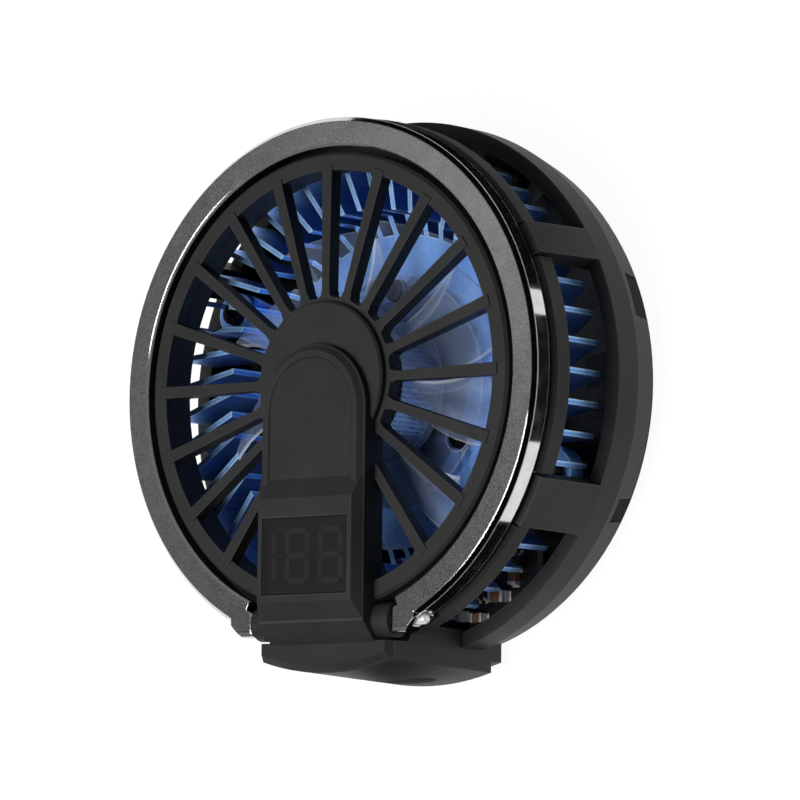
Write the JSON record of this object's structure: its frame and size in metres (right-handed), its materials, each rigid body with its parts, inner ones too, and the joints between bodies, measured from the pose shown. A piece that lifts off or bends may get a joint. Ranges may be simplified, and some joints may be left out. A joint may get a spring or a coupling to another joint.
{
  "type": "phone cooling fan",
  "caption": "Round magnetic phone cooler with a folding ring stand, spoked grille, display arm, clear fan and finned heat sink.",
  "frame": {"origin": "centre of the face that touches the phone, on the fan's axis", "axes": "+Z along the fan's axis, away from the phone towards the grille; the display arm points to -Y; +X to the right"},
  "size_m": [0.0602, 0.0625, 0.0245],
  "materials": {
    "black_plastic": "fine matte",
    "ring_metal": "bead-blasted face, polished edges",
    "pin_steel": "polished",
    "lens_plastic": "satin",
    "segment_plastic": "matte",
    "module_plastic": "matte",
    "display_board": "satin",
    "ribbon_film": "satin",
    "blue_aluminium": "anodised",
    "plate_aluminium": "fine ground",
    "pad_rubber": "matte",
    "magnet_metal": "nickel plated",
    "white_ceramic": "matte",
    "pellet_metal": "matte",
    "red_lead": "satin",
    "foam": "matte",
    "black_screw": "black oxide",
    "main_board": "satin",
    "cap_ceramic": "satin",
    "tin": "bright tin",
    "chip_epoxy": "matte",
    "steel": "satin",
    "clear_plastic": "frosted clear",
    "bronze": "sintered",
    "lamination": "matte",
    "copper": "enamelled",
    "motor_board": "satin",
    "black_lead": "satin",
    "ferrite": "matte"
  },
  "bodies": {
    "body": {"hinge_pins": "pin_steel", "front_grille": "black_plastic", "arm_cover": "black_plastic", "display_lens": "lens_plastic", "digit_segments": "segment_plastic", "display_module": "module_plastic", "display_pcb": "display_board", "display_ribbon": "ribbon_film", "rear_shell": "black_plastic", "contact_pad": "pad_rubber", "cold_plate": "plate_aluminium", "magnets": "magnet_metal", "peltier_cold_plate": "white_ceramic", "peltier_pellets": "pellet_metal", "peltier_hot_plate": "white_ceramic", "peltier_leads": "red_lead", "insulation_frame": "foam", "heat_sink": "blue_aluminium", "sink_screws": "black_screw", "main_pcb": "main_board", "pcb_capacitors": "cap_ceramic", "pcb_cap_ends": "tin", "pcb_chips": "chip_epoxy", "pcb_screws": "steel", "usb_socket_shell": "steel", "usb_socket_tongue": "chip_epoxy", "motor_base": "clear_plastic", "motor_base_screws": "black_screw", "bearing_sleeve": "bronze", "stator_core": "lamination", "stator_coils": "copper", "motor_pcb": "motor_board", "fan_leads": "black_lead"},
    "fan": {"impeller": "clear_plastic", "rotor_cup": "steel", "rotor_magnet": "ferrite", "motor_shaft": "steel"},
    "ring": {"ring_stand": "ring_metal"}
  },
  "joints": [
    {"name": "fan_spin", "type": "hinge", "parent": "body", "child": "fan", "pos_m": [0, 0, 0.0144], "axis": [0, 0, 1], "continuous": true},
    {"name": "ring_swing", "type": "hinge", "parent": "body", "child": "ring", "pos_m": [0, -0.0262, 0.02], "axis": [1, 0, 0], "range_deg": [0, 110]}
  ]
}
